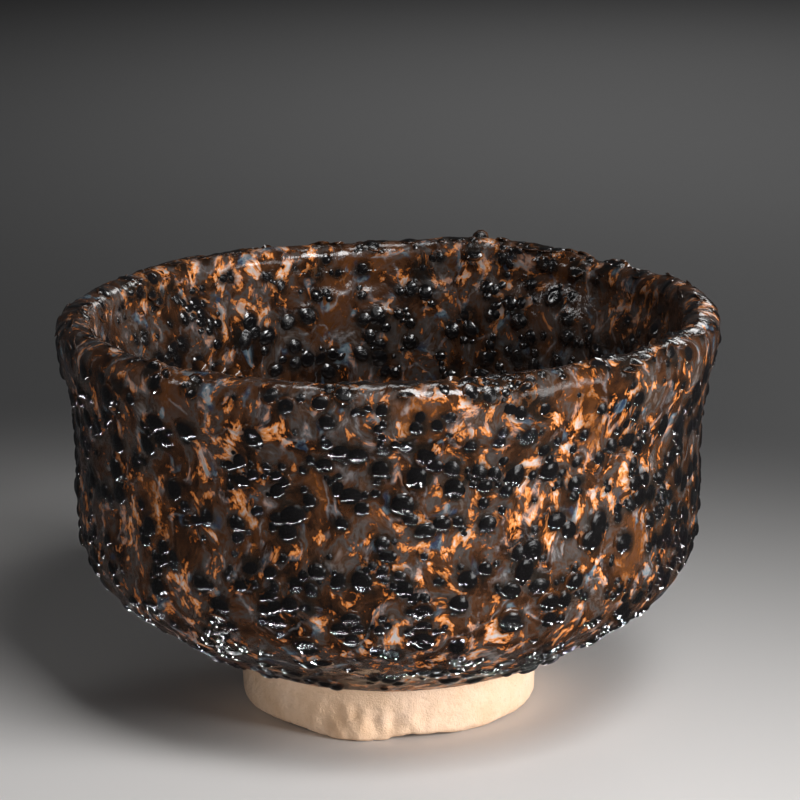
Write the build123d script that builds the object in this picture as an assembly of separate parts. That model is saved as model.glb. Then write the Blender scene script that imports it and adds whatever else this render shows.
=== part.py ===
from build123d import *
import math
import os
import random

# Stoneware tea bowl for whisked green tea, thrown on a wheel and glazed inside and out.
# The clay wall and floor are one thrown shell. A separate bare clay foot ring carries it.
# Glaze lies on the shell as three coats that meet face to face: the outside coat, the
# inside coat, and the thick roll over the lip where the first two ran together.
# Black glass beads stand on the coats. Each bead is a dome with a flat base.
#
# Frame: millimetres, +Z up. The origin is the centre of the foot's resting face.
# The bowl is round, so each piece but the beads is a section in the X-Z plane, turned
# about Z.

# ---- Overall sizes ----
MOUTH_RADIUS = 61.0  # outside of the glazed lip
BOWL_HEIGHT = 75.5  # resting face to the crest of the glazed lip
FOOT_RADIUS = 28.0  # outside of the foot ring
FOOT_HEIGHT = 11.0  # resting face to the underside of the floor

# ---- Clay shell ----
BELLY_RADIUS = 56.9  # outside of the clay at the belly
BELLY_HEIGHT = 37.5
WAIST_STEP = 0.05  # how far the waist, under the flare of the lip, is outside of the belly
WAIST_BELOW_CREST = 26.0
FLARE_BELOW_CREST = 12.0
FLARE_STEP = 1.7  # how far the wall at the flare is inside the clay lip
# Shoulder points, as shares of the way out and up from the foot's top to the belly.
SHOULDER = ((0.42, 0.21), (0.70, 0.41), (0.92, 0.65))
WALL = 4.4  # clay thickness at the lip end of the wall
FLOOR = 5.6  # clay thickness at the foot end of the wall, and of the floor
WELL_RADIUS = 24.0  # shallow dip in the floor where the last of the tea gathers
WELL_DEPTH = 1.0
NUB_RADIUS = 4.2  # turning nub left under the floor, inside the foot ring
NUB_TIP_RADIUS = 1.0
NUB_HEIGHT = 1.6

# ---- Foot ring ----
FOOT_WALL = 6.6  # radial thickness of the ring under the floor
RECESS_FLARE = 1.2  # how much wider the recess is at the resting face
FOOT_ROUND = 1.2  # rounding of the foot's lower outside edge
RECESS_ROUND = 0.8  # rounding of the recess's edge

# ---- Glaze coats ----
GLAZE = 0.9  # thickness of the coat on the wall
GLAZE_LIP = 1.0  # thickness of the roll over the lip
GLAZE_POOL = 1.3  # thickness where the glaze pooled on the floor
LIP_BAND = 5.5  # height of the lip roll, down from the crest
GLAZE_LINE_GAP = 1.4  # bare clay between the foot ring and the edge of the outside coat
GLAZE_EDGE = 0.5  # thickness of the outside coat at that edge
GLAZE_ROLL = 1.6  # distance from that edge in which the coat reaches its full thickness

# ---- Beads ----
BEAD_SEED = 11
BEAD_RADII = (0.75, 2.1)  # smallest and largest
BEAD_SKEW = 2.2  # above 1, small beads are commoner than large ones
BEAD_BASE_ANGLE = 12.0  # a dome starts at this latitude of its sphere, in degrees
BEAD_SPACING = 1.06  # least distance of two beads, as a share of their radii added up
BEAD_CLUSTERING = 0.4  # share of the beads that form beside an earlier one
BEAD_SEAT_GAP = 0.05  # least space between a bead's flat base and the coat
SEAT_PROBES = 12  # directions in which the coat is felt for around a bead's base
OUTSIDE_BEADS, INSIDE_BEADS, LIP_BEADS = 240, 140, 24
UNBEADED_FLOOR = 30.0  # the pooled glaze inside this radius swallowed its beads

# ---- How finely the curves are drawn ----
WALL_POINTS = 30
SEARCH_STEP = 0.005  # step along the wall when looking for a height or a radius on it

CLAY_LIP_RADIUS = MOUTH_RADIUS - GLAZE_LIP
LIP_CENTRE_HEIGHT = BOWL_HEIGHT - GLAZE_LIP - WALL / 2


# ---------------------------------------------------------------- drawing of the wall


def at(radius, height):
    """A point of the section."""
    return Vector(radius, 0, height)


def wall_curve():
    """The clay's outside, from under the floor at the foot up to the lip."""
    foot, belly = at(FOOT_RADIUS, FOOT_HEIGHT), at(BELLY_RADIUS, BELLY_HEIGHT)
    way = belly - foot
    points = [
        foot,
        *(foot + at(way.X * out, way.Z * up) for out, up in SHOULDER),
        belly,
        at(BELLY_RADIUS + WAIST_STEP, BOWL_HEIGHT - WAIST_BELOW_CREST),
        at(CLAY_LIP_RADIUS - FLARE_STEP, BOWL_HEIGHT - FLARE_BELOW_CREST),
        at(CLAY_LIP_RADIUS, LIP_CENTRE_HEIGHT),
    ]
    return Spline(*points, tangents=[(1, 0, 0.2), (0, 0, 1)])


WALL_CURVE = wall_curve()
GLAZE_LINE = GLAZE_LINE_GAP / WALL_CURVE.length
ROLLED = (GLAZE_LINE_GAP + GLAZE_ROLL) / WALL_CURVE.length


def wall_station(share, proud, inside):
    """A point on one face of the wall.

    share runs from 0 at the foot to 1 at the lip. proud is how far the point stands off
    the clay, and inside chooses the inner face.
    """
    along = WALL_CURVE % share
    outward = at(along.Z, -along.X)
    thickness = FLOOR + (WALL - FLOOR) * share
    return WALL_CURVE @ share + outward * (-(thickness + proud) if inside else proud)


def inside_cover(share, pool):
    """Thickness of a layer on the inner face, growing to the pool's towards the floor."""
    thin = GLAZE if pool else 0
    return thin + (pool - thin) * (1 - share) ** 2


def lip_point(proud, turn):
    """A point on the half-round over the lip, from the outer face at 0 to the inner one at pi."""
    outer, inner = wall_station(1, proud, False), wall_station(1, proud, True)
    reach = (outer - inner) / 2
    up = at(-reach.Z, reach.X)
    return (outer + inner) / 2 + reach * math.cos(turn) + up * math.sin(turn)


def over_the_lip(proud, pool):
    """The section's edges from the lip's outer face over it, down the inside and to the axis."""
    shares = [1 - k / WALL_POINTS for k in range(WALL_POINTS + 1)]
    inner = [wall_station(share, inside_cover(share, pool), True) for share in shares]
    inner[0] = lip_point(proud, math.pi)
    well_edge = at(WELL_RADIUS, inner[-1].Z)
    return [
        ThreePointArc(lip_point(proud, 0), lip_point(proud, math.pi / 2), inner[0]),
        Spline(*inner),
        Line(inner[-1], well_edge),
        Spline(well_edge, well_edge - at(WELL_RADIUS, WELL_DEPTH), tangents=[(-1, 0, -0.1), (-1, 0, 0)]),
    ]


def section(edges, axis_height):
    """The face inside these edges, which end on the axis, closed down to the given height."""
    start, end, corner = edges[0] @ 0, edges[-1] @ 1, at(0, axis_height)
    return Face(Wire([*edges, Line(end, corner), Line(corner, start)]))


def polygon(*corners):
    """The face with these corners."""
    return Face(Wire(Polyline(*corners, close=True).edges()))


# ---------------------------------------------------------------- clay


def clay_section():
    """Wall, floor and lip of the thrown shell."""
    return section([WALL_CURVE, *over_the_lip(0, 0)], FOOT_HEIGHT)


def clay_body():
    """The thrown shell, with the turning nub under its floor."""
    nub = Pos(0, 0, FOOT_HEIGHT - NUB_HEIGHT) * Cone(
        NUB_TIP_RADIUS, NUB_RADIUS, NUB_HEIGHT, align=(Align.CENTER, Align.CENTER, Align.MIN)
    )
    return revolve(clay_section(), Axis.Z) + nub


def foot_ring():
    """The bare clay ring under the floor, with its tapered recess."""
    recess_radius = FOOT_RADIUS - FOOT_WALL
    profile = polygon(
        at(recess_radius, FOOT_HEIGHT),
        at(FOOT_RADIUS, FOOT_HEIGHT),
        at(FOOT_RADIUS, 0),
        at(recess_radius + RECESS_FLARE, 0),
    )
    ring = revolve(profile, Axis.Z)
    for side, rounding in ((-1, FOOT_ROUND), (0, RECESS_ROUND)):
        resting_face = ring.faces().sort_by(Axis.Z)[0]
        ring = fillet([resting_face.edges().sort_by(SortBy.LENGTH)[side]], rounding)
    return ring


# ---------------------------------------------------------------- glaze


def glazed_section():
    """The outline of the glazed shell. Its foot end starts inside the clay just off the foot."""
    shares = [ROLLED + (1 - ROLLED) * k / WALL_POINTS for k in range(WALL_POINTS + 1)]
    buried = wall_station(GLAZE_LINE, -FLOOR / 2, False)
    edge = wall_station(GLAZE_LINE, GLAZE_EDGE, False)
    outside = [wall_station(share, GLAZE, False) for share in shares]
    outside[-1] = lip_point(GLAZE_LIP, 0)
    return section(
        [Line(buried, edge), Spline(edge, *outside), *over_the_lip(GLAZE_LIP, GLAZE_POOL)], buried.Z
    )


def glaze_coats():
    """The outside, inside and lip coats, which together wrap the clay shell."""
    coat = glazed_section() - clay_section()
    seam, far = BOWL_HEIGHT - LIP_BAND, 2 * MOUTH_RADIUS
    above = polygon(at(0, seam), at(0, seam + far), at(far, seam + far), at(far, seam))
    walls = (coat - above).faces().sort_by(Axis.X)
    lip = (coat & above).faces()[0]
    return revolve(walls[-1], Axis.Z), revolve(walls[0], Axis.Z), revolve(lip, Axis.Z)


# ---------------------------------------------------------------- beads


def station_at(zone, share):
    """The point of the section on the glaze at a share of the way along one zone."""
    if zone == "outside":
        return wall_station(share, GLAZE, False)
    if zone == "inside":
        return wall_station(share, inside_cover(share, GLAZE_POOL), True)
    return lip_point(GLAZE_LIP, math.pi * share)


def surface(zone, share, turn):
    """A point on the glaze and the direction that faces away from it."""
    here = station_at(zone, share)
    if zone == "lip":
        away = here - (lip_point(GLAZE_LIP, 0) + lip_point(GLAZE_LIP, math.pi)) / 2
    else:
        along = WALL_CURVE % share
        away = at(along.Z, -along.X) * (-1 if zone == "inside" else 1)
    heading = math.degrees(turn)
    return here.rotate(Axis.Z, heading), away.normalized().rotate(Axis.Z, heading)


def zone_length(zone):
    """Length of a zone along the section, from end to end."""
    return math.pi * (WALL / 2 + GLAZE_LIP) if zone == "lip" else WALL_CURVE.length


def scattered(zone, count, low, high, rng):
    """Beads on a zone, as (point, direction, radius, share, turn), in clumps that don't overlap."""
    beads = []
    while len(beads) < count:
        radius = BEAD_RADII[0] + (BEAD_RADII[1] - BEAD_RADII[0]) * rng.random() ** BEAD_SKEW
        share, turn = rng.uniform(low, high), rng.uniform(0, 2 * math.pi)
        if station_at(zone, share).X < MOUTH_RADIUS * rng.random():
            continue
        if beads and rng.random() < BEAD_CLUSTERING:
            _, _, near_radius, near_share, near_turn = rng.choice(beads)
            step = (radius + near_radius) * BEAD_SPACING * 1.04
            lean = rng.uniform(0, 2 * math.pi)
            share = near_share + step * math.sin(lean) / zone_length(zone)
            turn = near_turn + step * math.cos(lean) / station_at(zone, near_share).X
        if not low <= share <= high:
            continue
        point, away = surface(zone, share, turn)
        if all((point - bead[0]).length > (radius + bead[2]) * BEAD_SPACING for bead in beads):
            beads.append((point, away, radius, share, turn))
    return beads


def seat_gap(zone, bead):
    """How far off the glaze a bead's flat base stands, so that it clears the glaze all round."""
    point, away, radius, share, turn = bead
    up = radius / zone_length(zone)
    along = radius / station_at(zone, share).X
    leans = [2 * math.pi * k / SEAT_PROBES for k in range(SEAT_PROBES)]
    felt = [
        surface(zone, share + up * math.sin(lean), turn + along * math.cos(lean))[0] - point
        for lean in leans
    ]
    return BEAD_SEAT_GAP + max(0.0, *[way.dot(away) * (radius / way.length) ** 2 for way in felt])


def dome(zone, bead):
    """One bead: the cap of a sphere on a flat base, standing on the glaze."""
    point, away, radius, _, _ = bead
    sunk = radius * math.sin(math.radians(BEAD_BASE_ANGLE))
    seat = Plane(point + away * (seat_gap(zone, bead) - sunk), z_dir=away)
    return Solid.make_sphere(radius, seat, BEAD_BASE_ANGLE, 90)


def bead_group(zone, count, low, high, seed):
    """All the beads of a zone as separate solids."""
    placed = scattered(zone, count, low, high, random.Random(seed))
    return Compound([dome(zone, bead) for bead in placed])


def first_share(reached):
    """The first share of the way up the wall at which this is so."""
    share = 0.0
    while not reached(share):
        share += SEARCH_STEP
    return share


def all_pieces():
    """Every named piece of the bowl."""
    outside_coat, inside_coat, lip_coat = glaze_coats()
    clear = 3 * BEAD_RADII[1] / WALL_CURVE.length
    seam = first_share(lambda share: station_at("outside", share).Z > BOWL_HEIGHT - LIP_BAND)
    pool_edge = first_share(lambda share: station_at("inside", share).X > UNBEADED_FLOOR)
    return {
        "clay_body": clay_body(),
        "foot_ring": foot_ring(),
        "outside_glaze": outside_coat,
        "inside_glaze": inside_coat,
        "lip_glaze": lip_coat,
        "outside_beads": bead_group("outside", OUTSIDE_BEADS, ROLLED + clear, seam - clear, BEAD_SEED),
        "inside_beads": bead_group("inside", INSIDE_BEADS, pool_edge + clear, seam - clear, BEAD_SEED + 1),
        "lip_beads": bead_group("lip", LIP_BEADS, 0.1, 0.9, BEAD_SEED + 2),
    }


os.makedirs("parts", exist_ok=True)
for name, piece in all_pieces().items():
    export_step(piece, f"parts/{name}.step")
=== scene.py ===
"""A stoneware tea bowl with a thick, runny iron glaze and black glass beads, in a plain studio."""

import logging
import math
import random
from collections.abc import Iterable
from dataclasses import dataclass, field
from enum import Enum

import bmesh
import bpy
from mathutils import Matrix, Vector, noise
from mathutils.bvhtree import BVHTree
from mathutils.kdtree import KDTree

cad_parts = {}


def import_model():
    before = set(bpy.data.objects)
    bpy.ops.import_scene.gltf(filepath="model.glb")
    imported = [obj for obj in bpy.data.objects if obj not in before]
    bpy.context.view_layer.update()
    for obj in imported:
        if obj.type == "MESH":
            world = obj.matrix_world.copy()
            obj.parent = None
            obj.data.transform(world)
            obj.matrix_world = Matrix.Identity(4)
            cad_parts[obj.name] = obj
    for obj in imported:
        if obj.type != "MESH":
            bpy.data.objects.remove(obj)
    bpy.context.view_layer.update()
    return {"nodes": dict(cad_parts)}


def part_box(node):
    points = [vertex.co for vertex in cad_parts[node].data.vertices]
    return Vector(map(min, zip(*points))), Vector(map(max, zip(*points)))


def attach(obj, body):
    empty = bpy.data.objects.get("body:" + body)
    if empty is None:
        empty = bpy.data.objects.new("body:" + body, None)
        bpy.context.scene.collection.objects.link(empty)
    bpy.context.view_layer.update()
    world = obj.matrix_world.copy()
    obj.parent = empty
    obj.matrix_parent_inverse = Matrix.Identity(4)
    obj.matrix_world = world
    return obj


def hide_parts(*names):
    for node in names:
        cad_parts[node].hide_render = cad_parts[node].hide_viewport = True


log = logging.getLogger("tea_bowl")
MM = 0.001
SECTION_STEP = 0.1 * MM  # between two points of the skin's section
TINY = 1e-9
SAME_POINT = 1e-7  # corners closer than this are one
TURN_DOUBLINGS = 5  # a turned form is spun for one part in 32, which is then doubled this often
Colour = tuple[float, float, float]
Place = tuple[float, float]  # radius and height of a point of a section
Socket = bpy.types.NodeSocket


class Zone(Enum):
    """The three parts of the glazed skin."""

    OUTSIDE = "outside"
    LIP = "lip"
    INSIDE = "inside"


class BeadForm(Enum):
    """Section of a bead: (distance from its middle, height), as shares of its radius."""

    ROUND = ((1.34, -0.10), (1.10, 0.01), (0.97, 0.20), (0.78, 0.42), (0.45, 0.57), (0.0, 0.62))
    DIMPLED = ((1.32, -0.10), (1.09, 0.01), (0.94, 0.24), (0.72, 0.43), (0.40, 0.43), (0.0, 0.33))
    HATTED = ((1.36, -0.10), (1.10, 0.02), (0.92, 0.21), (0.70, 0.28), (0.52, 0.46), (0.0, 0.57))
    FLAT = ((1.42, -0.10), (1.12, 0.01), (0.92, 0.13), (0.62, 0.21), (0.32, 0.24), (0.0, 0.24))


class LampUse(Enum):
    """What a lamp does: it lights everything, shows only in gloss, or only lights matt colour."""

    BOTH = (True, True)
    GLOSS = (False, True)
    FILL = (True, False)


# ---------------------------------------------------------------- shader helpers


@dataclass
class Sheet:
    """A node tree being filled, with short calls for the nodes used here."""

    tree: bpy.types.NodeTree

    def add(self, kind: str, **settings: object) -> bpy.types.Node:
        """Adds a node.

        Args:
            kind: the node's type name.
            settings: properties to set on the node.

        Returns:
            The new node.
        """
        made = self.tree.nodes.new(kind)
        for name, value in settings.items():
            setattr(made, name, value)
        return made

    def put(self, target: Socket, value: object) -> None:
        """Links a socket to the target, or sets the target's own value.

        Args:
            target: an input socket.
            value: an output socket, or a plain value.
        """
        if isinstance(value, Socket):
            self.tree.links.new(value, target)
        else:
            target.default_value = value

    def noise(self, vector: object, scale: float, detail: float = 2.0, rough: float = 0.5) -> bpy.types.Node:
        """Adds a noise texture.

        Args:
            vector: the coordinates.
            scale: how many lumps to the metre, roughly.
            detail: number of finer layers.
            rough: strength of the finer layers.

        Returns:
            The noise node.
        """
        made = self.add("ShaderNodeTexNoise")
        for name, value in (("Vector", vector), ("Scale", scale), ("Detail", detail), ("Roughness", rough)):
            self.put(made.inputs[name], value)
        return made

    def math(self, operation: str, first: object, second: object = 0.0, third: object = 0.0) -> Socket:
        """Adds a Math node.

        Args:
            operation: the node's operation.
            first: first operand.
            second: second operand.
            third: third operand.

        Returns:
            The result's socket.
        """
        made = self.add("ShaderNodeMath", operation=operation)
        for socket, value in zip(made.inputs, (first, second, third)):
            self.put(socket, value)
        return made.outputs[0]

    def vector_math(self, operation: str, first: object, second: object) -> Socket:
        """Adds a Vector Math node.

        Args:
            operation: the node's operation.
            first: first operand.
            second: second operand.

        Returns:
            The result's socket.
        """
        made = self.add("ShaderNodeVectorMath", operation=operation)
        self.put(made.inputs[0], first)
        self.put(made.inputs[1], second)
        return made.outputs[0]

    def step(self, value: object, low: float, high: float, start: float = 0.0, end: float = 1.0) -> Socket:
        """Adds a smooth step.

        Args:
            value: the value to read.
            low: where the step begins.
            high: where it ends.
            start: result below the step.
            end: result above it.

        Returns:
            The result's socket.
        """
        made = self.add("ShaderNodeMapRange", interpolation_type="SMOOTHSTEP")
        for socket, given in zip(made.inputs, (value, low, high, start, end)):
            self.put(socket, given)
        return made.outputs[0]

    def mix(self, share: object, under: object, over: object, blend: str = "MIX") -> Socket:
        """Adds a colour mix.

        Args:
            share: how much of the second colour shows.
            under: first colour.
            over: second colour.
            blend: the mix's blend type.

        Returns:
            The result's socket.
        """
        made = self.add("ShaderNodeMix", data_type="RGBA", blend_type=blend)
        for index, value in ((0, share), (6, under), (7, over)):
            self.put(made.inputs[index], (*value, 1.0) if isinstance(value, tuple) else value)
        return made.outputs[2]

    def ramp(self, value: object, stops: tuple[tuple[float, Colour], ...]) -> Socket:
        """Adds a colour ramp.

        Args:
            value: the value to read.
            stops: places and colours, in order.

        Returns:
            The colour's socket.
        """
        made = self.add("ShaderNodeValToRGB")
        ramp = made.color_ramp
        while len(ramp.elements) < len(stops):
            ramp.elements.new(1.0)
        for element, (place, colour) in zip(ramp.elements, stops):
            element.position = place
            element.color = (*colour, 1.0)
        self.put(made.inputs[0], value)
        return made.outputs[0]

    def bump(self, height: object, strength: float, distance: float, normal: object = None) -> Socket:
        """Adds a bump.

        Args:
            height: the height's socket.
            strength: the bump's strength.
            distance: metres that a height of 1 stands for.
            normal: the normal of a coarser bump, if any.

        Returns:
            The normal's socket.
        """
        made = self.add("ShaderNodeBump")
        self.put(made.inputs["Strength"], strength)
        self.put(made.inputs["Distance"], distance)
        self.put(made.inputs["Height"], height)
        if normal is not None:
            self.put(made.inputs["Normal"], normal)
        return made.outputs[0]


def new_group(
    name: str, inputs: dict[str, tuple[str, float]], outputs: dict[str, str]
) -> tuple[Sheet, bpy.types.Node, bpy.types.Node]:
    """Starts a shader node group.

    Args:
        name: the group's name.
        inputs: socket type ending and default value by name.
        outputs: socket type ending by name.

    Returns:
        The sheet, the group's input node and its output node.
    """
    tree = bpy.data.node_groups.new(name, "ShaderNodeTree")
    for label, (kind, value) in inputs.items():
        socket = tree.interface.new_socket(label, in_out="INPUT", socket_type=f"NodeSocket{kind}")
        if kind == "Float":
            socket.default_value = value
    for label, kind in outputs.items():
        tree.interface.new_socket(label, in_out="OUTPUT", socket_type=f"NodeSocket{kind}")
    sheet = Sheet(tree)
    return sheet, sheet.add("NodeGroupInput"), sheet.add("NodeGroupOutput")


def unevenness_group() -> bpy.types.NodeTree:
    """The fine unevenness of fired surfaces: soft lumps with finer grain on them.

    Returns:
        The node group, which puts out a height and a mask of the low places.
    """
    sheet, given, result = new_group(
        "unevenness",
        {"Vector": ("Vector", 0.0), "Scale": ("Float", 600.0), "Grain": ("Float", 0.4)},
        {"Height": "Float", "Hollows": "Float"},
    )
    lumps = sheet.noise(given.outputs["Vector"], given.outputs["Scale"], 2.0, 0.5)
    fine_scale = sheet.math("MULTIPLY", given.outputs["Scale"], 4.3)
    grain = sheet.noise(given.outputs["Vector"], fine_scale, 3.0, 0.6)
    height = sheet.math("MULTIPLY_ADD", grain.outputs[0], given.outputs["Grain"], lumps.outputs[0])
    sheet.put(result.inputs["Height"], height)
    sheet.put(result.inputs["Hollows"], sheet.step(height, 0.35, 0.75, 1.0, 0.0))
    return sheet.tree


def marbling_group() -> bpy.types.NodeTree:
    """The colours of the run glaze: brown melt, amber and cream islands, grey and blue streaks.

    Returns:
        The node group, which puts out a colour, a height and a mask of the cream islands.
    """
    sheet, given, result = new_group(
        "glaze marbling",
        {"Vector": ("Vector", 0.0), "Cream": ("Float", 0.0), "Amber": ("Float", 0.0), "Halo": ("Float", 0.0)},
        {"Color": "Color", "Height": "Float", "Islands": "Float"},
    )
    place = sheet.add("ShaderNodeMapping")
    place.inputs["Scale"].default_value = (1.0, 1.0, 0.8)
    sheet.put(place.inputs["Vector"], given.outputs["Vector"])
    straight = place.outputs[0]
    coarse = sheet.noise(straight, 105.0, 1.0).outputs[1]
    swirled = sheet.vector_math("MULTIPLY_ADD", coarse, (0.0065, 0.0065, 0.0065))
    sheet.put(swirled.node.inputs[2], straight)
    fine = sheet.noise(swirled, 330.0, 2.0).outputs[1]
    curled = sheet.vector_math("MULTIPLY_ADD", fine, (0.0024, 0.0024, 0.0024))
    sheet.put(curled.node.inputs[2], swirled)

    region = sheet.noise(straight, 45.0, 1.0).outputs[0]
    patch = sheet.noise(curled, 360.0, 5.0, 0.68).outputs[0]
    level = sheet.math("MULTIPLY_ADD", sheet.math("SUBTRACT", region, 0.5), 0.22, patch)
    level = sheet.math("ADD", level, given.outputs["Cream"])
    melt = sheet.noise(curled, 150.0, 4.0, 0.66).outputs[0]
    ground = sheet.ramp(
        melt,
        (
            (0.32, (0.008, 0.005, 0.004)),
            (0.42, (0.036, 0.014, 0.006)),
            (0.49, (0.070, 0.029, 0.013)),
            (0.54, (0.066, 0.057, 0.053)),
            (0.60, (0.052, 0.026, 0.014)),
            (0.70, (0.165, 0.145, 0.135)),
        ),
    )
    islands = sheet.ramp(
        level,
        (
            (0.55, (0.16, 0.045, 0.010)),
            (0.59, (0.60, 0.17, 0.028)),
            (0.63, (0.72, 0.30, 0.10)),
            (0.66, (0.64, 0.45, 0.36)),
            (0.74, (0.50, 0.49, 0.50)),
        ),
    )
    island_share = sheet.step(level, 0.55, 0.605)
    colour = sheet.mix(island_share, ground, islands)

    amber = sheet.noise(curled, 75.0, 2.0).outputs[0]
    amber_share = sheet.step(sheet.math("ADD", amber, given.outputs["Amber"]), 0.57, 0.72, 0.0, 0.8)
    colour = sheet.mix(amber_share, colour, sheet.mix(melt, (0.015, 0.005, 0.002), (0.17, 0.055, 0.012)))

    streaks = sheet.noise(curled, 125.0, 1.0, 0.5).outputs[0]
    line = sheet.math("ABSOLUTE", sheet.math("SUBTRACT", streaks, 0.5))
    line_share = sheet.math("MULTIPLY", sheet.step(line, 0.0, 0.035, 0.6, 0.0), sheet.step(patch, 0.42, 0.60))
    colour = sheet.mix(line_share, colour, sheet.mix(melt, (0.06, 0.09, 0.12), (0.46, 0.43, 0.42)))

    cool = sheet.vector_math("ADD", curled, (0.37, 0.11, 0.23))
    cool_share = sheet.step(sheet.noise(cool, 210.0, 2.0, 0.6).outputs[0], 0.61, 0.70, 0.0, 0.8)
    blues = sheet.mix(sheet.step(patch, 0.4, 0.6), (0.02, 0.04, 0.08), (0.19, 0.27, 0.31))
    colour = sheet.mix(cool_share, colour, blues)

    # Painted shade round each bead's foot, and the dark glaze trails above the large beads, darken the colour
    # towards black.
    colour = sheet.mix(sheet.math("MULTIPLY", given.outputs["Halo"], 0.92), colour, (0.011, 0.008, 0.006))
    mottle = sheet.noise(curled, 900.0, 2.0, 0.7).outputs[0]
    colour = sheet.mix(0.5, colour, sheet.mix(mottle, (0.25, 0.25, 0.25), (1.0, 1.0, 1.0)), "MULTIPLY")
    sheet.put(result.inputs["Color"], colour)
    swirls = sheet.math("MULTIPLY", melt, 0.8)
    sheet.put(result.inputs["Height"], sheet.math("MULTIPLY_ADD", patch, 0.6, swirls))
    sheet.put(result.inputs["Islands"], island_share)
    return sheet.tree


@dataclass
class Effects:
    """The node groups shared by the finishes."""

    unevenness: bpy.types.NodeTree = field(default_factory=unevenness_group)
    marbling: bpy.types.NodeTree = field(default_factory=marbling_group)


def start_material(name: str) -> tuple[Sheet, bpy.types.Node, Socket]:
    """Starts a material with a Principled shader.

    Args:
        name: the material's name.

    Returns:
        The sheet, the shader and the object coordinates' socket.
    """
    material = bpy.data.materials.new(name)
    material.use_nodes = True
    sheet = Sheet(material.node_tree)
    shader = material.node_tree.nodes["Principled BSDF"]
    return sheet, shader, sheet.add("ShaderNodeTexCoord").outputs["Object"]


def use_group(sheet: Sheet, tree: bpy.types.NodeTree, **values: object) -> bpy.types.Node:
    """Places a node group in a sheet.

    Args:
        sheet: where it goes.
        tree: the group.
        values: values or sockets by input name.

    Returns:
        The group node.
    """
    made = sheet.add("ShaderNodeGroup", node_tree=tree)
    for name, value in values.items():
        sheet.put(made.inputs[name], value)
    return made


# ---------------------------------------------------------------- finishes


@dataclass(frozen=True)
class RunGlaze:
    """Glossy glaze that ran while molten. cream and amber say how much of those colours shows."""

    name: str
    cream: float
    amber: float
    band: tuple[float, float] = (0.055, 0.068)
    band_cream: float = 0.0
    dry_band: tuple[float, float] = (0.011, 0.021)
    foot_cream: float = 0.06
    roughness: float = 0.13
    ripple: float = 0.00016

    def make(self, effects: Effects) -> bpy.types.Material:
        """Builds the material.

        Args:
            effects: the shared node groups.

        Returns:
            The material.
        """
        sheet, shader, place = start_material(self.name)
        # This attribute holds the painted shade round the beads and the dark glaze trails above the large
        # ones.
        shade_and_trail = sheet.add("ShaderNodeAttribute", attribute_name="shade_and_trail").outputs["Fac"]
        height = sheet.add("ShaderNodeSeparateXYZ")
        sheet.put(height.inputs[0], place)
        rising = sheet.step(height.outputs[2], *self.band, self.cream, self.cream + self.band_cream)
        by_foot = sheet.step(height.outputs[2], *self.dry_band, self.foot_cream, 0.0)
        rising = sheet.math("ADD", rising, by_foot)
        colours = use_group(sheet, effects.marbling, Vector=place, Cream=rising, Amber=self.amber, Halo=shade_and_trail)
        ripples = use_group(sheet, effects.unevenness, Vector=place, Scale=520.0, Grain=0.25)
        sheet.put(shader.inputs["Base Color"], colours.outputs["Color"])
        dry = sheet.step(height.outputs[2], *self.dry_band, 0.42, 0.0)
        rough = sheet.step(ripples.outputs["Hollows"], 0.0, 1.0, self.roughness, self.roughness + 0.09)
        sheet.put(shader.inputs["Roughness"], sheet.math("ADD", rough, dry))
        thick = sheet.bump(colours.outputs["Height"], 0.8, self.ripple * 1.6)
        sheet.put(shader.inputs["Normal"], sheet.bump(ripples.outputs["Height"], 0.8, self.ripple, thick))
        shader.inputs["IOR"].default_value = 1.55
        sheet.put(shader.inputs["Coat Weight"], sheet.step(dry, 0.0, 0.42, 0.25, 0.0))
        shader.inputs["Coat Roughness"].default_value = 0.04
        return bpy.data.materials[self.name]


@dataclass(frozen=True)
class BeadGlass:
    """Black iron glass, thin and brown at a bead's foot, with fine rings on some of the beads."""

    name: str = "black bead glass"
    roughness: float = 0.07

    def make(self, effects: Effects) -> bpy.types.Material:
        """Builds the material. The UV map holds a bead's own number and the distance up its side.

        Args:
            effects: the shared node groups.

        Returns:
            The material.
        """
        sheet, shader, place = start_material(self.name)
        split = sheet.add("ShaderNodeSeparateXYZ")
        sheet.put(split.inputs[0], sheet.add("ShaderNodeUVMap", uv_map="bead").outputs[0])
        own, up = split.outputs[0], split.outputs[1]
        rust = sheet.noise(place, 260.0, 2.0).outputs[0]
        foot = sheet.mix(rust, (0.010, 0.005, 0.003), (0.10, 0.035, 0.010))
        colour = sheet.mix(sheet.step(up, 0.05, 0.34), foot, (0.0045, 0.0040, 0.0042))
        sheet.put(shader.inputs["Base Color"], colour)
        height = sheet.add("ShaderNodeSeparateXYZ")
        sheet.put(height.inputs[0], place)
        dry = sheet.step(height.outputs[2], 0.012, 0.027, 0.35, 0.0)
        rough = sheet.step(own, 0.55, 1.0, self.roughness, self.roughness + 0.16)
        sheet.put(shader.inputs["Roughness"], sheet.math("ADD", rough, dry))
        rings = sheet.math("SINE", sheet.math("MULTIPLY_ADD", up, 34.0, sheet.math("MULTIPLY", own, 40.0)))
        ring_share = sheet.math("MULTIPLY", rings, sheet.step(own, 0.35, 0.7, 0.15, 1.0))
        lumps = use_group(sheet, effects.unevenness, Vector=place, Scale=900.0, Grain=0.2)
        uneven = sheet.bump(lumps.outputs["Height"], 0.7, 0.00014)
        sheet.put(shader.inputs["Normal"], sheet.bump(ring_share, 0.5, 0.00003, uneven))
        shader.inputs["IOR"].default_value = 1.6
        sheet.put(shader.inputs["Coat Weight"], sheet.step(dry, 0.0, 0.35, 0.5, 0.0))
        shader.inputs["Coat Roughness"].default_value = 0.03
        return bpy.data.materials[self.name]


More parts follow.
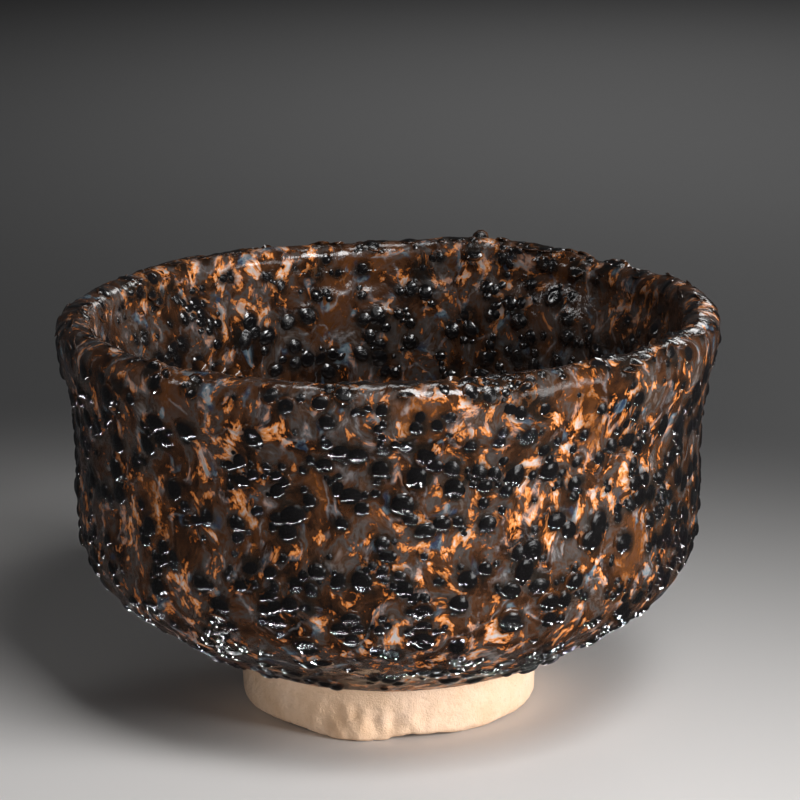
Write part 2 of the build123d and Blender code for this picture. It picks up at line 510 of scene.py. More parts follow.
@dataclass(frozen=True)
class BareClay:
    """Unglazed buff stoneware with open grain, painted shade in its hollows and small iron specks."""

    name: str = "bare stoneware"

    def make(self, effects: Effects) -> bpy.types.Material:
        """Builds the material.

        Args:
            effects: the shared node groups.

        Returns:
            The material.
        """
        sheet, shader, place = start_material(self.name)
        grain = use_group(sheet, effects.unevenness, Vector=place, Scale=900.0, Grain=0.7)
        broad = sheet.noise(place, 90.0, 3.0, 0.6).outputs[0]
        colour = sheet.ramp(
            broad, ((0.30, (0.62, 0.405, 0.255)), (0.50, (0.70, 0.49, 0.335)), (0.70, (0.75, 0.55, 0.41)))
        )
        # Painted shade: the grain's low places are darkened.
        hollow_shade = sheet.math("MULTIPLY", grain.outputs["Hollows"], 0.30)
        colour = sheet.mix(hollow_shade, colour, (0.36, 0.24, 0.14))
        specks = sheet.step(sheet.noise(place, 1500.0, 1.0).outputs[0], 0.68, 0.80, 0.0, 0.3)
        sheet.put(shader.inputs["Base Color"], sheet.mix(specks, colour, (0.22, 0.13, 0.07)))
        sheet.put(shader.inputs["Roughness"], sheet.step(broad, 0.2, 0.8, 0.78, 0.92))
        sheet.put(shader.inputs["Normal"], sheet.bump(grain.outputs["Height"], 0.9, 0.00035))
        shader.inputs["Specular IOR Level"].default_value = 0.3
        return bpy.data.materials[self.name]


@dataclass(frozen=True)
class PaleTable:
    """Matt table with a painted pool of light: pale round a point in front of the bowl, fading to grey away
    from it.
    """

    name: str = "pale table"
    near: Colour = (0.74, 0.72, 0.705)
    far: Colour = (0.085, 0.085, 0.085)
    middle: tuple[float, float, float] = (-0.05, -0.14, 0.0)
    bright: float = 0.10
    dim: float = 0.36

    def make(self) -> bpy.types.Material:
        """Builds the material.

        Returns:
            The material.
        """
        sheet, shader, place = start_material(self.name)
        # Painted pool of light: the colour is pale near the middle and fades to the far grey further away.
        away = sheet.vector_math("DISTANCE", place, self.middle).node.outputs["Value"]
        share = sheet.step(away, self.bright, self.dim)
        sheet.put(shader.inputs["Base Color"], sheet.mix(share, self.near, self.far))
        shader.inputs["Roughness"].default_value = 0.6
        shader.inputs["Specular IOR Level"].default_value = 0.25
        return bpy.data.materials[self.name]


# ---------------------------------------------------------------- mesh helpers


@dataclass(frozen=True)
class Row:
    """One point of a turned section, and the way that its surface faces there."""

    radius: float
    height: float
    out: float = 0.0
    up: float = 0.0
    cover: float = 1.0


ROW_LAYERS = ("out", "up", "cover")


def turned(rows: list[Row], steps: int, looped: bool) -> bmesh.types.BMesh:
    """Turns a section about Z.

    Args:
        rows: the section's points. Their facing and cover are kept in layers.
        steps: number of columns round the axis.
        looped: whether the section closes on itself.

    Returns:
        The turned mesh, facing outwards.
    """
    made = bmesh.new()
    for name in ROW_LAYERS:
        made.verts.layers.float.new(name)
    ends = [made.verts.new((x, 0.0, 0.0)) for x in (0.0, 1.0)]
    bmesh.ops.subdivide_edges(made, edges=[made.edges.new(ends)], cuts=len(rows) - 2)
    line = sorted(made.verts, key=lambda vertex: vertex.co.x)
    for vertex, row in zip(line, rows):
        vertex.co = (row.radius, 0.0, row.height)
        for name in ROW_LAYERS:
            vertex[made.verts.layers.float[name]] = getattr(row, name)
    if looped:
        made.edges.new((line[-1], line[0]))
    angle = math.tau / 2**TURN_DOUBLINGS
    geometry = made.verts[:] + made.edges[:]
    bmesh.ops.spin(
        made, geom=geometry, cent=(0, 0, 0), axis=(0, 0, 1), angle=angle, steps=steps // 2**TURN_DOUBLINGS
    )
    for _ in range(TURN_DOUBLINGS):
        whole = made.verts[:] + made.edges[:] + made.faces[:]
        copied = bmesh.ops.duplicate(made, geom=whole)["geom"]
        moved = [part for part in copied if isinstance(part, bmesh.types.BMVert)]
        bmesh.ops.rotate(made, verts=moved, cent=(0, 0, 0), matrix=Matrix.Rotation(angle, 3, "Z"))
        angle *= 2
    bmesh.ops.remove_doubles(made, verts=made.verts, dist=1e-6)
    bmesh.ops.recalc_face_normals(made, faces=made.faces)
    made.normal_update()
    return made


def finished(
    made: bmesh.types.BMesh, name: str, material: bpy.types.Material, stands_for: str
) -> bpy.types.Object:
    """Turns a bmesh into a smooth piece that rides on the bowl.

    Args:
        made: the mesh, which is freed.
        name: the piece's name.
        material: its finish.
        stands_for: the CAD node that it replaces.

    Returns:
        The piece.
    """
    for face in made.faces:
        face.smooth = True
    mesh = bpy.data.meshes.new(name)
    made.to_mesh(mesh)
    made.free()
    mesh.materials.append(material)
    piece = bpy.data.objects.new(name, mesh)
    bpy.context.scene.collection.objects.link(piece)
    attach(piece, "root")
    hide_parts(stands_for)
    log.info("%s: %d faces", name, len(mesh.polygons))
    return piece


def swell(angle: float, centre: float, width: float) -> float:
    """A smooth swelling round the bowl.

    Args:
        angle: where, in radians.
        centre: the swelling's middle, in degrees.
        width: its width, in degrees.

    Returns:
        A height from 0 to 1.
    """
    off = (math.degrees(angle) - centre + 180.0) % 360.0 - 180.0
    return math.exp(-((off / width) ** 2))


@dataclass(frozen=True)
class ThrownForm:
    """How the potter's hand moves the true round form. Heights and radii in metres."""

    height: float
    true_below: float = 0.020
    tilt: float = 0.00077
    sink: float = 0.00055
    out_of_round: float = 0.0035
    waves: tuple[tuple[float, float, float], ...] = (
        (70.0, 15.0, 0.0010),
        (37.0, 13.0, -0.0010),
        (125.0, 14.0, 0.0004),
        (-100.0, 16.0, -0.0003),
        (-60.0, 12.0, 0.0003),
        (190.0, 20.0, 0.0003),
    )

    def moved(self, point: Vector) -> Vector:
        """Where a point of the true form lies in the thrown one.

        Args:
            point: a point of the true form.

        Returns:
            The moved point.
        """
        rise = max(0.0, (point.z - self.true_below) / (self.height - self.true_below))
        turn = math.atan2(point.y, point.x)
        lift = self.tilt * math.cos(turn) - self.sink
        lift += sum(height * swell(turn, centre, width) for centre, width, height in self.waves)
        round_at = Vector((math.cos(turn), math.sin(turn), point.z * 25.0)) * 1.7
        wobble = 1.0 + self.out_of_round * rise * noise.noise(round_at)
        return Vector((point.x * wobble, point.y * wobble, point.z + lift * rise * rise))


# ---------------------------------------------------------------- beads


@dataclass
class Bead:
    """One black glass bead on the true form."""

    point: Vector
    normal: Vector
    radius: float
    zone: Zone


@dataclass
class CadSkin:
    """The CAD's three coats, read as one surface of the true form."""

    nodes: dict[str, bpy.types.Object]
    slant: float = 0.013
    rays: int = 900
    beyond: float = 0.2
    lip_depth: float = 3.2 * MM
    lip_clear: float = 6 * MM
    lip_rays: int = 240
    surface: BVHTree = field(init=False)
    section: list[Place] = field(init=False)
    seams: list[int] = field(init=False)

    def __post_init__(self) -> None:
        """Reads the coats and draws their section."""
        merged = bmesh.new()
        for zone in Zone:
            merged.from_mesh(self.nodes[f"{zone.value}_glaze"].data)
        self.surface = BVHTree.FromBMesh(merged)
        merged.free()
        self.section, self.seams = self.drawn()

    def cast(self, start: Place, way: Place) -> Place | None:
        """Casts a ray in a half-plane through the axis.

        Args:
            start: radius and height of the start.
            way: radial and vertical direction.

        Returns:
            Radius and height of the first hit, if any.
        """
        across = Vector((math.cos(self.slant), math.sin(self.slant), 0.0))
        up = Vector((0.0, 0.0, 1.0))
        hit = self.surface.ray_cast(across * start[0] + up * start[1], across * way[0] + up * way[1])[0]
        return None if hit is None or hit.dot(across) < 0 else (hit.dot(across), hit.z)

    def sweep(self, pivot: Place, turns: Place, from_out: bool) -> list[Place]:
        """Feels the skin all round a pivot.

        Args:
            pivot: radius and height of the pivot.
            turns: first and last direction, in degrees above the outward horizontal.
            from_out: whether the rays come in from outside or go out from the pivot.

        Returns:
            The points felt, in order.
        """
        felt = []
        for k in range(self.rays + 1):
            turn = math.radians(turns[0] + (turns[1] - turns[0]) * k / self.rays)
            way = (math.cos(turn), math.sin(turn))
            far = (pivot[0] + way[0] * self.beyond, pivot[1] + way[1] * self.beyond)
            hit = self.cast(far, (-way[0], -way[1])) if from_out else self.cast(pivot, way)
            if hit:
                felt.append(hit)
        return felt

    def drawn(self) -> tuple[list[Place], list[int]]:
        """Draws the skin's section from the glaze line up, over the lip and down to the axis.

        Returns:
            The section, in steps of about 0.1 mm, and the indices of its two seams.
        """
        low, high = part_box("lip_glaze")
        mouth, seam = high.x, low.z
        outside = [p for p in self.sweep((mouth * 0.6, high.z * 0.5), (-110, 60), True) if p[1] < seam]
        middle = (mouth - self.lip_depth, high.z - self.lip_depth)
        lip = []
        for k in range(self.lip_rays + 1):
            turn = math.radians(-50 + 280 * k / self.lip_rays)
            way = (math.cos(turn), math.sin(turn))
            start = (middle[0] + way[0] * self.lip_clear, middle[1] + way[1] * self.lip_clear)
            hit = self.cast(start, (-way[0], -way[1]))
            if hit and hit[1] >= seam:
                lip.append(hit)
        inside = [p for p in self.sweep((mouth * 0.25, high.z * 0.74), (35, -115), False) if p[1] < seam]
        inside.append((0.0, inside[-1][1]))
        points = [*outside, *lip, *inside]
        seams = (points.index(lip[0]), points.index(inside[0]))
        lengths = [0.0]
        for before, after in zip(points, points[1:]):
            lengths.append(lengths[-1] + math.dist(before, after))
        even, index, total = [], 0, lengths[-1]
        count = int(total / SECTION_STEP)
        for k in range(count + 1):
            wanted = total * k / count
            while index < len(points) - 2 and lengths[index + 1] < wanted:
                index += 1
            span = max(lengths[index + 1] - lengths[index], TINY)
            share = min(max((wanted - lengths[index]) / span, 0.0), 1.0)
            a, b = points[index], points[index + 1]
            even.append((a[0] + (b[0] - a[0]) * share, a[1] + (b[1] - a[1]) * share))
        return even, [round(lengths[seam_index] / total * count) for seam_index in seams]

    def span(self, zone: Zone) -> tuple[int, int]:
        """Finds where a zone lies in the section.

        Args:
            zone: the zone.

        Returns:
            Its first and last index.
        """
        first, second = self.seams
        ends = (0, first, second, len(self.section) - 1)
        start = list(Zone).index(zone)
        return ends[start], ends[start + 1]

    def facing(self, index: int) -> Place:
        """The section's outward normal.

        Args:
            index: a place in the section.

        Returns:
            Radial and vertical parts of the normal.
        """
        low, high = max(index - 4, 0), min(index + 4, len(self.section) - 1)
        a, b = self.section[low], self.section[high]
        length = max(math.dist(a, b), TINY)
        return (b[1] - a[1]) / length, -(b[0] - a[0]) / length

    def spot(self, index: int, turn: float) -> tuple[Vector, Vector]:
        """A point of the skin and its normal.

        Args:
            index: a place in the section.
            turn: the angle about the axis, in radians.

        Returns:
            The point and the normal.
        """
        (radius, height), (out, up) = self.section[index], self.facing(index)
        across = Vector((math.cos(turn), math.sin(turn), 0.0))
        return across * radius + Vector((0, 0, height)), across * out + Vector((0, 0, up))


@dataclass
class BeadField:
    """All the beads: the CAD's own, and the many small ones between them."""

    skin: CadSkin
    seed: int = 5
    counts: tuple[int, int, int] = (1650, 380, 1350)
    smallest: float = 0.48 * MM
    largest: float = 2.15 * MM
    skew: float = 1.5
    clustering: float = 0.55
    free_gap: float = 1.1
    mate_gap: float = 0.70
    bare_floor: float = 26 * MM
    bare_below: float = 13.5 * MM
    most_tries: int = 60000
    cell: float = 5 * MM
    beads: list[Bead] = field(default_factory=list)
    grid: dict[tuple[int, int, int], list[Bead]] = field(default_factory=dict)

    def near(self, point: Vector) -> list[Bead]:
        """Finds the beads in the cells round a point.

        Args:
            point: a point of the true form.

        Returns:
            The beads.
        """
        x, y, z = (math.floor(c / self.cell) for c in point)
        cells = [(x + i, y + j, z + k) for i in (-1, 0, 1) for j in (-1, 0, 1) for k in (-1, 0, 1)]
        return [bead for cell in cells for bead in self.grid.get(cell, ())]

    def keep(self, bead: Bead) -> None:
        """Adds a bead to the list and the grid."""
        self.beads.append(bead)
        self.grid.setdefault(tuple(math.floor(c / self.cell) for c in bead.point), []).append(bead)

    def read_cad(self) -> None:
        """Takes over the beads of the CAD, one for each separate dome of its bead nodes."""
        for zone in Zone:
            merged = bmesh.new()
            merged.from_mesh(self.skin.nodes[f"{zone.value}_beads"].data)
            bmesh.ops.remove_doubles(merged, verts=merged.verts, dist=SAME_POINT)
            left = set(merged.verts)
            for start in merged.verts:
                if start not in left:
                    continue
                left.discard(start)
                island, edge = [], [start]
                while edge:
                    vertex = edge.pop()
                    island.append(vertex)
                    for link in vertex.link_edges:
                        other = link.other_vert(vertex)
                        if other in left:
                            left.discard(other)
                            edge.append(other)
                middle = sum((v.co for v in island), Vector()) / len(island)
                point, normal, _, _ = self.skin.surface.find_nearest(middle)
                radius = max((v.co - point).length for v in island) * 0.98
                self.keep(Bead(point, (middle - point).normalized(), radius, zone))
            merged.free()

    def scatter(self) -> None:
        """Adds seeded beads until each zone has its count. Many form beside an earlier one."""
        rng = random.Random(self.seed)
        for zone, count in zip(Zone, self.counts):
            first, last = self.skin.span(zone)
            present = [bead for bead in self.beads if bead.zone is zone]
            tries = 0
            while len(present) < count and tries < self.most_tries:
                tries += 1
                radius = self.smallest + (self.largest - self.smallest) * rng.random() ** self.skew
                index, turn = rng.randint(first, last), rng.uniform(0, math.tau)
                gap = self.free_gap
                if rng.random() < self.clustering:
                    mate = rng.choice(present)
                    step = (mate.radius + radius) * rng.uniform(0.72, 1.1)
                    lean = rng.uniform(0, math.tau)
                    across = Vector((-mate.point.y, mate.point.x, 0.0)).normalized()
                    along = mate.normal.cross(across)
                    aim = mate.point + (across * math.cos(lean) + along * math.sin(lean)) * step
                    point, _, _, _ = self.skin.surface.find_nearest(aim)
                    normal, gap = mate.normal, self.mate_gap
                else:
                    if self.skin.section[index][0] < self.skin.section[first][0] * rng.random():
                        continue
                    point, normal = self.skin.spot(index, turn)
                if zone is Zone.INSIDE and math.hypot(point.x, point.y) < self.bare_floor:
                    continue
                if point.z < self.bare_below and zone is Zone.OUTSIDE:
                    continue
                if any((point - b.point).length < (radius + b.radius) * gap for b in self.near(point)):
                    continue
                bead = Bead(point, normal.copy(), radius, zone)
                self.keep(bead)
                present.append(bead)


# ---------------------------------------------------------------- pieces


@dataclass
class GlazeRelief:
    """How thick the run glaze lies: broad flows, small lumps and a rise against each bead."""

    beads: BeadField
    flow: float = 0.34 * MM
    lump: float = 0.12 * MM
    meniscus: float = 0.13
    # How far the meniscus and the painted shade round a bead reach past its edge.
    meniscus_and_shade_reach: float = 0.85 * MM
    trail_above: float = 1.25 * MM
    trail_length: float = 3.0
    near: KDTree = field(init=False)
    trailing: KDTree = field(init=False)

    def __post_init__(self) -> None:
        """Builds the search trees: one of all beads, one of those that drew a dark trail."""
        every = range(len(self.beads.beads))
        self.near = self.tree(every)
        self.trailing = self.tree([k for k in every if self.beads.beads[k].radius > self.trail_above])

    def tree(self, chosen: Iterable[int]) -> KDTree:
        """Builds a search tree of beads.

        Args:
            chosen: indices in the list of beads.

        Returns:
            The balanced tree.
        """
        chosen = list(chosen)
        made = KDTree(len(chosen))
        for index in chosen:
            made.insert(self.beads.beads[index].point, index)
        made.balance()
        return made

    def broad(self, point: Vector) -> float:
        """Thickness of the flows at a point, without the beads.

        Args:
            point: a point of the true form.

        Returns:
            The height above the true form.
        """
        run = Vector((point.x, point.y, point.z * 0.6))
        wave = noise.noise(run * 130.0) * self.flow + noise.noise(run * 310.0) * self.flow * 0.4
        return wave + noise.noise(point * 620.0) * self.lump

    def felt(self, point: Vector) -> tuple[float, float]:
        """Thickness of the glaze, and the painted shade round the beads with the dark trails above the large
        ones.

        Args:
            point: a point of the true form.

        Returns:
            The height above the true form, and the share of painted shade and dark trail, from 0 to 1.
        """
        # First the painted shade round each bead's foot, then the dark glaze trails above the large beads,
        # made patchy by noise.
        rise, shade_and_trail = 0.0, 0.0
        for _, index, distance in self.near.find_range(point, self.beads.largest * 1.3 + self.meniscus_and_shade_reach):
            radius = self.beads.beads[index].radius
            past = (distance - radius) / self.meniscus_and_shade_reach
            rise = max(rise, radius * (math.exp(-((past / 0.75) ** 2)) if past > 0 else 1.0))
            shade_and_trail = max(shade_and_trail, 1.0 - (past * self.meniscus_and_shade_reach - 0.15 * radius) / (self.meniscus_and_shade_reach * 0.9))
        reach = self.trail_length * self.beads.largest
        for centre, index, distance in self.trailing.find_range(point, reach):
            bead = self.beads.beads[index]
            above = (point.z - centre.z) / bead.radius
            if above > 0 and bead.zone is not Zone.INSIDE:
                side = math.sqrt(max((distance / bead.radius) ** 2 - above * above, 0.0))
                shade_and_trail = max(shade_and_trail, (1.0 - above / self.trail_length) * (1.35 - side * 1.25))
        shade_and_trail_mottle = 0.75 + 0.9 * noise.noise(point * 380.0)
        return self.broad(point) + self.meniscus * rise, max(0.0, min(1.0, shade_and_trail * shade_and_trail_mottle))


@dataclass
class GlazeCoat:
    """One coat of the run glaze, with its closed back against the clay."""

    zone: Zone
    skin: CadSkin
    relief: GlazeRelief
    form: ThrownForm
    spacing: float = 0.56 * MM
    columns: int = 608
    back: float = 0.75 * MM
    back_rows: int = 8
    tuck: float = 0.012 * MM
    roll: float = 1.5 * MM
    roll_depth: float = 0.35 * MM
    thinner: float = 0.42 * MM
    thin_reach: float = 9.0 * MM
    edge_reach: float = 1.3 * MM
    deepest: float = 0.1 * MM

    def rows(self) -> list[Row]:
        """The section of the coat: its skin, then its back.

        Returns:
            The rows. Those of the skin reach one step under the neighbouring coats.
        """
        first, last = self.skin.span(self.zone)
        count = max(2, round((last - first) * SECTION_STEP / self.spacing))
        step = (last - first) / count
        start = -1 if self.zone is not Zone.OUTSIDE else 0
        end = count + 1 if self.zone is not Zone.INSIDE else count
        front = []
        for k in range(start, end + 1):
            inset = self.tuck if k < 0 or k > count else 0.0
            place = first + step * k
            front.append(self.row(place, -inset - self.edge_round(place), 1.0))
        reach = [first + step * (end + (start - end) * k / self.back_rows) for k in range(self.back_rows + 1)]
        rear = [self.row(place, -self.back, 0.0) for place in reach]
        if self.zone is Zone.INSIDE:
            middle = self.skin.section[-1][1]
            front[-1] = Row(0.0, middle, 0.0, 1.0)
            rear[0] = Row(0.0, middle - self.back, cover=0.0)
            return [*reversed(front), *reversed(rear)]
        return [*front, *rear]

    def row(self, place: float, offset: float, cover: float) -> Row:
        """Makes a row at a place of the section, moved along its normal.

        Args:
            place: an index in the section, not rounded.
            offset: how far out it is moved.
            cover: 1 on the skin, 0 on the back.

        Returns:
            The row.
        """
        index = max(0, min(round(place), len(self.skin.section) - 1))
        (radius, height), (out, up) = self.skin.section[index], self.skin.facing(index)
        return Row(max(radius + out * offset, 0.0), height + up * offset, out, up, cover)

    def edge_round(self, place: float) -> float:
        """Tells how far the glaze's rolled and thinned lower edge draws in.

        Args:
            place: an index in the section, not rounded.

        Returns:
            The distance, which is 0 away from that edge.
        """
        if self.zone is not Zone.OUTSIDE:
            return 0.0
        up = place * SECTION_STEP
        share = max(0.0, 1.0 - up / self.roll)
        fall = self.roll_depth * (1.0 - math.sqrt(max(0.0, 1.0 - share * share)))
        return fall + self.thinner * max(0.0, 1.0 - up / self.thin_reach)

    def build(self, material: bpy.types.Material, slot: str) -> bpy.types.Object:
        """Builds the coat.

        Args:
            material: its finish.
            slot: the name of a material slot; not used.

        Returns:
            The piece.
        """
        made = turned(self.rows(), self.columns, self.zone is not Zone.INSIDE)
        # Stores the painted shade round the beads and the dark glaze trails, for the glaze's colour.
        shade_and_trail = made.verts.layers.float.new("shade_and_trail")
        out, up, cover = (made.verts.layers.float[name] for name in ROW_LAYERS)
        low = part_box("outside_glaze")[0].z
        for vertex in made.verts:
            point = vertex.co.copy()
            if vertex[cover] > 0.5:
                across = Vector((point.x, point.y, 0.0)).normalized()
                normal = across * vertex[out] + Vector((0.0, 0.0, vertex[up]))
                height, shade_and_trail_mottle = self.relief.felt(point)
                near_edge = max(0.0, 1.0 - (point.z - low) / (4 * MM)) if self.zone is Zone.OUTSIDE else 0.0
                height = max(height, -self.deepest) if near_edge > 0 else height
                vertex.co = point + normal * height * (1.0 - 0.7 * near_edge)
                vertex[shade_and_trail] = shade_and_trail_mottle
            if self.zone is Zone.OUTSIDE:
                self.shift_edge(vertex, point, low, (vertex[out], vertex[up]))
            vertex.co = self.form.moved(vertex.co)
        return finished(made, f"{self.zone.value}_coat", material, f"{self.zone.value}_glaze")

    def shift_edge(self, vertex: bmesh.types.BMVert, point: Vector, low: float, ways: Place) -> None:
        """Moves the rows near the lower edge along the wall, for an uneven glaze line.

        Args:
            vertex: the vertex to move.
            point: its place on the true form.
            low: height of the coat's lowest point.
            ways: radial and vertical parts of the way that it faces.
        """
        fade = max(0.0, 1.0 - (point.z - low) / (5 * MM))
        turn = math.atan2(point.y, point.x)
        wave = noise.noise(Vector((math.cos(turn), math.sin(turn), 0.3)) * 6.0) * 0.9 * MM
        wave += noise.noise(Vector((math.cos(turn), math.sin(turn), 7.3)) * 19.0) * 0.4 * MM
        out, up = ways
        across = Vector((point.x, point.y, 0.0)).normalized()
        vertex.co += (across * up - Vector((0.0, 0.0, out))) * (self.edge_reach + wave) * fade


@dataclass
class BeadGroup:
    """The beads of one zone as one piece."""

    zone: Zone
    relief: GlazeRelief
    form: ThrownForm
    seed: int
    columns: int = 10
    shaped_above: float = 1.1 * MM
    sag: float = 0.75
    spread: float = 0.32
    lip_share: float = 0.58
    lip_hang: float = 0.25
    lip_largest: float = 1.4 * MM

    def pattern(self, form: BeadForm) -> bmesh.types.BMesh:
        """Builds a bead of radius 1 that stands on the X-Y plane.

        Args:
            form: its section.

        Returns:
            The pattern. Its UV map holds the distance up the bead's side.
        """
        made = bmesh.new()
        uv = made.loops.layers.uv.new("bead")
        radius, height = form.value[0]
        bmesh.ops.create_circle(made, cap_ends=True, cap_tris=False, segments=self.columns, radius=radius)
        bmesh.ops.translate(made, verts=made.verts, vec=(0, 0, height))
        grown = bmesh.ops.extrude_face_region(made, geom=made.faces[:], use_keep_orig=True)["geom"]
        top = [part for part in grown if isinstance(part, bmesh.types.BMFace)]
        self.ring(top[0], *form.value[1])
        for next_radius, next_height in form.value[2:-1]:
            bmesh.ops.inset_region(made, faces=top, thickness=0.01, use_even_offset=True)
            self.ring(top[0], next_radius, next_height)
        peak = bmesh.ops.poke(made, faces=top)["verts"][0]
        peak.co = (0, 0, form.value[-1][1])
        for face in made.faces:
            for loop in face.loops:
                away = math.hypot(loop.vert.co.x, loop.vert.co.y)
                loop[uv].uv = (0.0, 1.0 - away / radius)
        bmesh.ops.recalc_face_normals(made, faces=made.faces)
        return made

    def hung(self, bead: Bead, share: float) -> Matrix:
        """Turns a pattern onto the surface, with its top sagged down the slope.

        Args:
            bead: the bead.
            share: how much of the full sag it shows.

        Returns:
            The turn and sag as a matrix.
        """
        rise = Vector((0.0, 0.0, 1.0)) - bead.normal * bead.normal.z
        up = rise.normalized() if rise.length > 0.05 else bead.normal.orthogonal().normalized()
        turn = Matrix((up.cross(bead.normal), up, bead.normal)).transposed().to_4x4()
        sag = Matrix.Identity(4)
        sag[1][2] = -self.sag * share * rise.length
        return turn @ sag

    def ring(self, face: bmesh.types.BMFace, radius: float, height: float) -> None:
        """Sets the corners of a bead's top face on a ring.

        Args:
            face: the face.
            radius: the ring's radius.
            height: the ring's height.
        """
        for vertex in face.verts:
            across = Vector((vertex.co.x, vertex.co.y, 0.0)).normalized() * radius
            vertex.co = across + Vector((0.0, 0.0, height))

    def build(self, material: bpy.types.Material) -> bpy.types.Object:
        """Builds the group.

        Args:
            material: the beads' finish.

        Returns:
            The piece.
        """
        rng = random.Random(self.seed)
        patterns = {form: self.pattern(form) for form in BeadForm}
        made, single = bmesh.new(), bpy.data.meshes.new("bead")
        for bead in (b for b in self.relief.beads.beads if b.zone is self.zone):
            weights = (5, 2, 3, 1) if bead.radius > self.shaped_above else (8, 1, 1, 0)
            copied = patterns[rng.choices(list(BeadForm), weights)[0]].copy()
            tall = rng.uniform(0.8, 1.1) * (1.0 - self.spread * bead.radius / self.relief.beads.largest)
            tall *= self.lip_share if self.zone is Zone.LIP else 1.0
            wide, own = rng.uniform(1.0, 1.22), rng.random()
            radius = min(bead.radius, self.lip_largest) if self.zone is Zone.LIP else bead.radius
            size = Matrix.Diagonal((radius * wide, radius / wide**0.5, radius * tall, 1.0))
            spin = Matrix.Rotation(rng.uniform(0, math.tau), 4, "Z")
            seat = self.form.moved(bead.point + bead.normal * self.relief.broad(bead.point))
            hang = rng.uniform(0.2, 1.0) * (self.lip_hang if self.zone is Zone.LIP else 1.0)
            whole = Matrix.Translation(seat) @ self.hung(bead, hang) @ spin @ size
            bmesh.ops.transform(copied, matrix=whole, verts=copied.verts)
            uv = copied.loops.layers.uv["bead"]
            for face in copied.faces:
                for loop in face.loops:
                    loop[uv].uv.x = own
            copied.to_mesh(single)
            made.from_mesh(single)
            copied.free()
        for pattern in patterns.values():
            pattern.free()
        bpy.data.meshes.remove(single)
        name = f"{self.zone.value}_bead_group"
        return finished(made, name, material, f"{self.zone.value}_beads")


@dataclass
class ClayShell:
    """The thrown clay under the coats, of which only the underside shows."""

    node: bpy.types.Object
    form: ThrownForm
    turned_below: float = 25 * MM
    turning_pitch: float = 2600.0
    turning_depth: float = 0.04 * MM

    def build(self, material: bpy.types.Material) -> bpy.types.Object:
        """Builds the shell from a merged copy of the CAD's.

        Args:
            material: its finish.

        Returns:
            The piece.
        """
        made = bmesh.new()
        made.from_mesh(self.node.data)
        bmesh.ops.remove_doubles(made, verts=made.verts, dist=SAME_POINT)
        for vertex in made.verts:
            vertex.co = self.form.moved(vertex.co)
            if vertex.co.z < self.turned_below:
                away = math.hypot(vertex.co.x, vertex.co.y)
                vertex.co.z += math.sin(away * self.turning_pitch) * self.turning_depth
        return finished(made, "thrown_clay", material, "clay_body")


